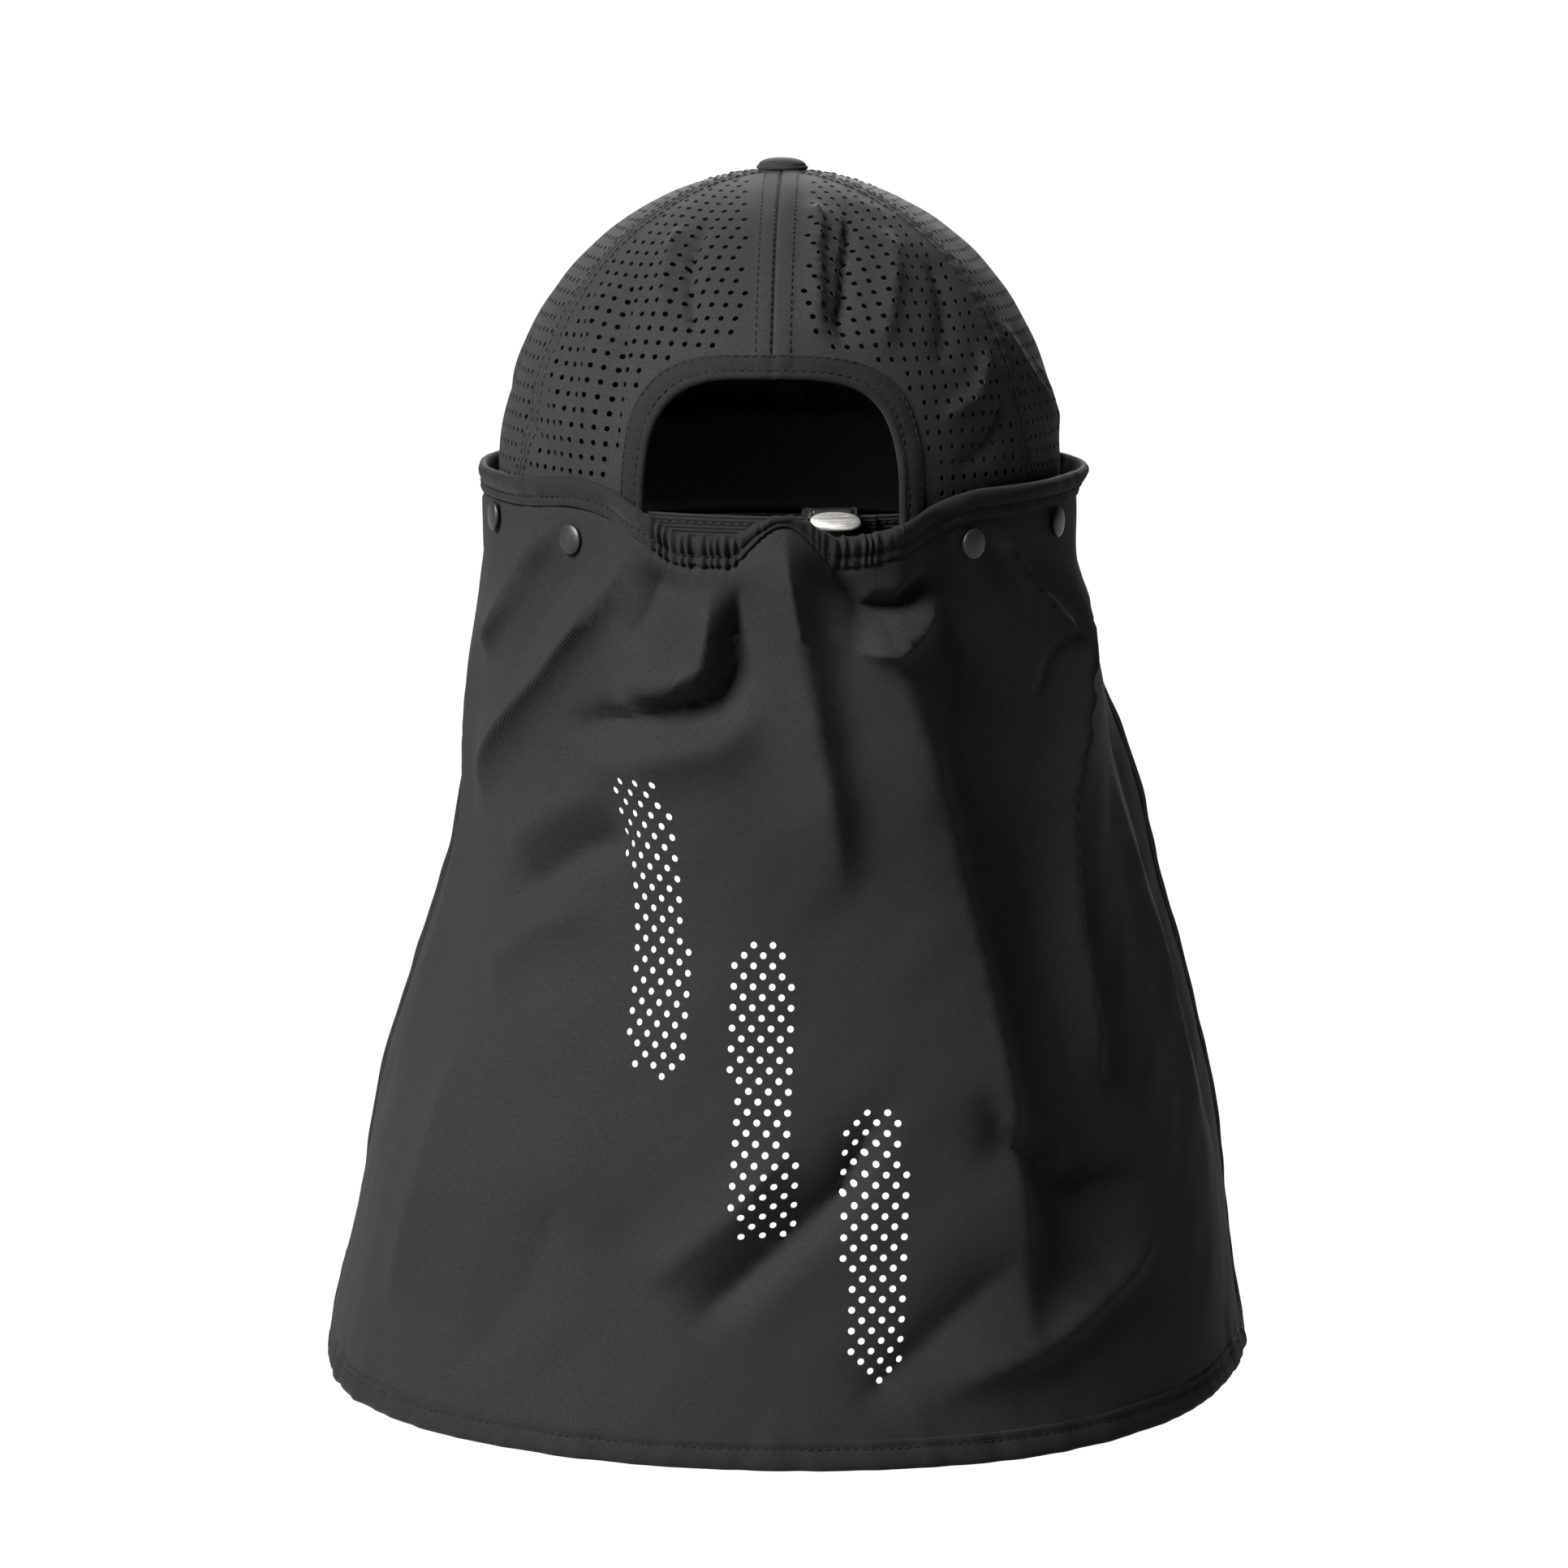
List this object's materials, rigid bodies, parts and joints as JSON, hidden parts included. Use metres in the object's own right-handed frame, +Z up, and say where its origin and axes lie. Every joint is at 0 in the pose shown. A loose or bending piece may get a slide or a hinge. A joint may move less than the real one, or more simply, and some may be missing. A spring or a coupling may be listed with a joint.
{
  "type": "sports cap with a detachable neck cape",
  "caption": "Perforated six-panel sports cap with a rear arch, a clasp strap and a detachable cape, held by press studs, that hangs round the neck and the sides of the face.",
  "frame": {"origin": "centre of the head opening, in the plane of the crown's lower edge", "axes": "+Z up through the crown, +Y the way the wearer faces, +X the wearer's right as seen from behind"},
  "size_m": [0.2862, 0.3039, 0.3835],
  "materials": {
    "crown_cloth": "matte perforated microfibre",
    "cape_cloth": "matte fine twill",
    "binding_cloth": "matte folded binding",
    "seam_tape": "matte tape",
    "sweatband_cloth": "matte towelling",
    "strap_webbing": "matte woven webbing",
    "elastic": "matte elastic tape",
    "visor_board": "matte board",
    "snap_enamel": "satin black enamel",
    "antique_silver": "worn antique silver",
    "clasp_steel": "dark steel"
  },
  "bodies": {
    "cap": {"crown_panel_back_left": "crown_cloth", "crown_panel_back_right": "crown_cloth", "crown_panel_side_left": "crown_cloth", "crown_panel_side_right": "crown_cloth", "crown_panel_front_left": "crown_cloth", "crown_panel_front_right": "crown_cloth", "seam_tape_centre_back": "seam_tape", "seam_tape_centre_front": "seam_tape", "seam_tape_rear_left": "seam_tape", "seam_tape_rear_right": "seam_tape", "seam_tape_front_left": "seam_tape", "seam_tape_front_right": "seam_tape", "rear_arch_binding": "binding_cloth", "sweatband": "sweatband_cloth", "top_button": "crown_cloth", "top_button_shank": "antique_silver", "visor_top_cover": "crown_cloth", "visor_board": "visor_board", "visor_under_cover": "crown_cloth", "strap": "strap_webbing", "strap_anchor": "strap_webbing", "snap_stud_rear_left": "snap_enamel", "snap_stud_rear_right": "snap_enamel", "snap_stud_side_left": "snap_enamel", "snap_stud_side_right": "snap_enamel", "snap_stud_temple_left": "snap_enamel", "snap_stud_temple_right": "snap_enamel", "snap_post_rear_left": "antique_silver", "snap_post_rear_right": "antique_silver", "snap_post_side_left": "antique_silver", "snap_post_side_right": "antique_silver", "snap_post_temple_left": "antique_silver", "snap_post_temple_right": "antique_silver"},
    "clasp": {"clasp_frame": "clasp_steel", "clasp_hinge_pin": "antique_silver"},
    "clasp_lever": {"clasp_cover": "antique_silver"},
    "cape": {"cape_body": "cape_cloth", "cape_edge_binding": "binding_cloth", "cape_top_band_left": "cape_cloth", "cape_top_band_right": "cape_cloth", "cape_elastic_casing": "cape_cloth", "cape_elastic": "elastic", "snap_cap_rear_left": "snap_enamel", "snap_cap_rear_right": "snap_enamel", "snap_cap_side_left": "snap_enamel", "snap_cap_side_right": "snap_enamel", "snap_cap_temple_left": "snap_enamel", "snap_cap_temple_right": "snap_enamel", "snap_socket_rear_left": "antique_silver", "snap_socket_rear_right": "antique_silver", "snap_socket_side_left": "antique_silver", "snap_socket_side_right": "antique_silver", "snap_socket_temple_left": "antique_silver", "snap_socket_temple_right": "antique_silver"}
  },
  "joints": [
    {"name": "clasp_slide", "type": "hinge", "parent": "cap", "child": "clasp", "pos_m": [0, -0.03089, 0.008], "axis": [0, 0, 1], "range_deg": [-5, 3]},
    {"name": "clasp_lever_hinge", "type": "hinge", "parent": "clasp", "child": "clasp_lever", "pos_m": [0.01825, -0.10479, 0.0189], "axis": [0.9713, 0.2378, 0], "range_deg": [-40, 62]},
    {"name": "cape_release", "type": "slide", "parent": "cap", "child": "cape", "axis": [0, 0, -1], "range_m": [0, 0.14], "deforming": ["snap_socket_rear_left", "snap_socket_rear_right", "snap_socket_side_left", "snap_socket_side_right", "snap_socket_temple_left", "snap_socket_temple_right"]}
  ]
}
